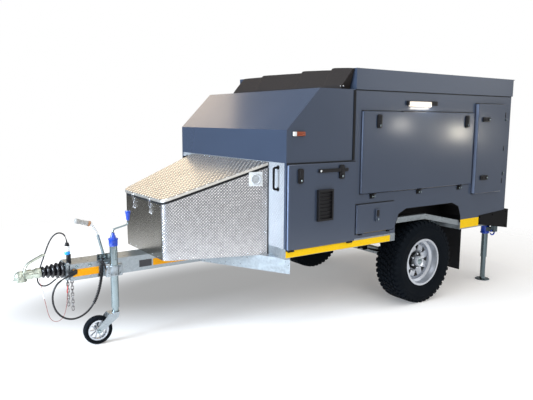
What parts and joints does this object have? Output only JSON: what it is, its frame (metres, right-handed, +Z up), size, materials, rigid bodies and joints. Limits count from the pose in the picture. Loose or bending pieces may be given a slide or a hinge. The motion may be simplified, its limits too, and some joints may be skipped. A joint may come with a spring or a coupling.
{
  "type": "off-road camping trailer",
  "caption": "Boxy single-axle camping trailer with side hatches, sloping nose, front box, roof lid, jockey wheel and rear steadies.",
  "frame": {"origin": "on the floor under the middle of the overall length and width", "axes": "+X forward to the coupling, +Y to the trailer's left, +Z up"},
  "size_m": [4.765, 1.8706, 2.12],
  "materials": {
    "body_paint": "satin dark blue-grey paint",
    "galvanised": "hot-dip galvanised steel",
    "chequer_aluminium": "raised tread-pattern aluminium sheet",
    "black_steel": "black powder coat",
    "black_plastic": "matte black plastic",
    "rubber": "matte",
    "tyre": "matte",
    "wheel_silver": "silver wheel paint",
    "zinc": "zinc-plated, faintly yellow",
    "plywood": "coated plywood",
    "cover_fabric": "coated canvas",
    "lamp": "lamp lenses",
    "chain": "zinc-plated chain",
    "lead_rubber": "black cable sheath",
    "red_cable": "red coated wire rope",
    "blue_plastic": "blue plastic"
  },
  "bodies": {
    "trailer": {"chassis_frame": "galvanised", "drawbar": "galvanised", "drawbar_struts": "galvanised", "axle_beam": "galvanised", "leaf_springs": "black_steel", "body_floor": "plywood", "wheel_arches": "body_paint", "cabin_sides": "body_paint", "cabin_roof": "body_paint", "rear_wall": "body_paint", "nose_cap": "body_paint", "nose_sides": "body_paint", "nose_front_wall": "chequer_aluminium", "tent_cover": "cover_fabric", "hinge_leaves": "black_steel", "toolbox": "chequer_aluminium", "toolbox_seal": "rubber", "front_hardware": "black_steel", "coupling_housing": "galvanised", "coupling_bellows": "rubber", "coupling_head": "zinc", "handbrake_lever": "zinc", "jockey_tube": "galvanised", "rear_bumper": "black_steel", "lamps": "lamp", "mud_flaps": "rubber", "steady_tubes": "galvanised", "safety_chains": "chain", "lead_brackets": "blue_plastic", "power_lead": "lead_rubber", "power_plug": "black_plastic", "trailer_cable": "lead_rubber", "breakaway_cable": "red_cable"},
    "wheel_left": {"tyre_left": "tyre", "rim_left": "wheel_silver"},
    "front_door_left": {"front_door_left": "body_paint", "front_fittings_left": "black_plastic"},
    "small_hatch_left": {"small_hatch_left": "body_paint"},
    "big_hatch_left": {"big_hatch_left": "body_paint", "big_fittings_left": "black_plastic"},
    "rear_door_left": {"rear_door_left": "body_paint", "rear_fittings_left": "black_plastic"},
    "steady_leg_left": {"steady_leg_left": "galvanised"},
    "wheel_right": {"tyre_right": "tyre", "rim_right": "wheel_silver"},
    "front_door_right": {"front_door_right": "body_paint", "front_fittings_right": "black_plastic"},
    "small_hatch_right": {"small_hatch_right": "body_paint"},
    "big_hatch_right": {"big_hatch_right": "body_paint", "big_fittings_right": "black_plastic"},
    "rear_door_right": {"rear_door_right": "body_paint", "rear_fittings_right": "black_plastic"},
    "steady_leg_right": {"steady_leg_right": "galvanised"},
    "tail_hatch": {"tail_hatch": "body_paint"},
    "roof_lid": {"roof_lid": "body_paint"},
    "toolbox_lid": {"toolbox_lid": "chequer_aluminium"},
    "jockey_leg": {"jockey_leg": "galvanised"},
    "jockey_fork": {"jockey_fork": "galvanised"},
    "jockey_wheel": {"jockey_tyre": "tyre", "jockey_rim": "wheel_silver"}
  },
  "joints": [
    {"name": "wheel_left_spin", "type": "hinge", "parent": "trailer", "child": "wheel_left", "pos_m": [-1.0145, 0.792, 0.388], "axis": [0, 1, 0], "continuous": true},
    {"name": "front_door_left_drop", "type": "hinge", "parent": "trailer", "child": "front_door_left", "pos_m": [0.2125, 0.8923, 0.687], "axis": [-1, 0, 0], "range_deg": [0, 90]},
    {"name": "small_hatch_left_drop", "type": "hinge", "parent": "trailer", "child": "small_hatch_left", "pos_m": [-0.3875, 0.8923, 0.737], "axis": [-1, 0, 0], "range_deg": [0, 90]},
    {"name": "big_hatch_left_drop", "type": "hinge", "parent": "trailer", "child": "big_hatch_left", "pos_m": [-0.9445, 0.8923, 1.077], "axis": [-1, 0, 0], "range_deg": [0, 90]},
    {"name": "rear_door_left_swing", "type": "hinge", "parent": "trailer", "child": "rear_door_left", "pos_m": [-2.1825, 0.9083, 1.423], "axis": [0, 0, 1], "range_deg": [0, 110]},
    {"name": "steady_left_slide", "type": "slide", "parent": "trailer", "child": "steady_leg_left", "axis": [0, 0, 1], "range_m": [0, 0.2]},
    {"name": "wheel_right_spin", "type": "hinge", "parent": "trailer", "child": "wheel_right", "pos_m": [-1.0145, -0.792, 0.388], "axis": [0, 1, 0], "continuous": true},
    {"name": "front_door_right_drop", "type": "hinge", "parent": "trailer", "child": "front_door_right", "pos_m": [0.2125, -0.8923, 0.687], "axis": [1, 0, 0], "range_deg": [0, 90]},
    {"name": "small_hatch_right_drop", "type": "hinge", "parent": "trailer", "child": "small_hatch_right", "pos_m": [-0.3875, -0.8923, 0.737], "axis": [1, 0, 0], "range_deg": [0, 90]},
    {"name": "big_hatch_right_drop", "type": "hinge", "parent": "trailer", "child": "big_hatch_right", "pos_m": [-0.9445, -0.8923, 1.077], "axis": [1, 0, 0], "range_deg": [0, 90]},
    {"name": "rear_door_right_swing", "type": "hinge", "parent": "trailer", "child": "rear_door_right", "pos_m": [-2.1825, -0.9083, 1.423], "axis": [0, 0, -1], "range_deg": [0, 110]},
    {"name": "steady_right_slide", "type": "slide", "parent": "trailer", "child": "steady_leg_right", "axis": [0, 0, 1], "range_m": [0, 0.2]},
    {"name": "tail_hatch_lift", "type": "hinge", "parent": "trailer", "child": "tail_hatch", "pos_m": [-2.3368, 0, 1.874], "axis": [0, 1, 0], "range_deg": [0, 90]},
    {"name": "roof_lid_lift", "type": "hinge", "parent": "trailer", "child": "roof_lid", "pos_m": [-1.2205, -0.896, 1.943], "axis": [1, 0, 0], "range_deg": [0, 80]},
    {"name": "toolbox_lid_lift", "type": "hinge", "parent": "trailer", "child": "toolbox_lid", "pos_m": [0.5825, 0, 1.37], "axis": [0, -1, 0], "range_deg": [0, 85]},
    {"name": "jockey_leg_slide", "type": "slide", "parent": "trailer", "child": "jockey_leg", "axis": [0, 0, 1], "range_m": [-0.2, 0.025]},
    {"name": "jockey_swivel", "type": "hinge", "parent": "jockey_leg", "child": "jockey_fork", "pos_m": [1.6905, 0.184, 0.22], "axis": [0, 0, 1], "continuous": true},
    {"name": "jockey_wheel_spin", "type": "hinge", "parent": "jockey_fork", "child": "jockey_wheel", "pos_m": [1.8325, 0.184, 0.11], "axis": [0, 1, 0], "continuous": true}
  ]
}
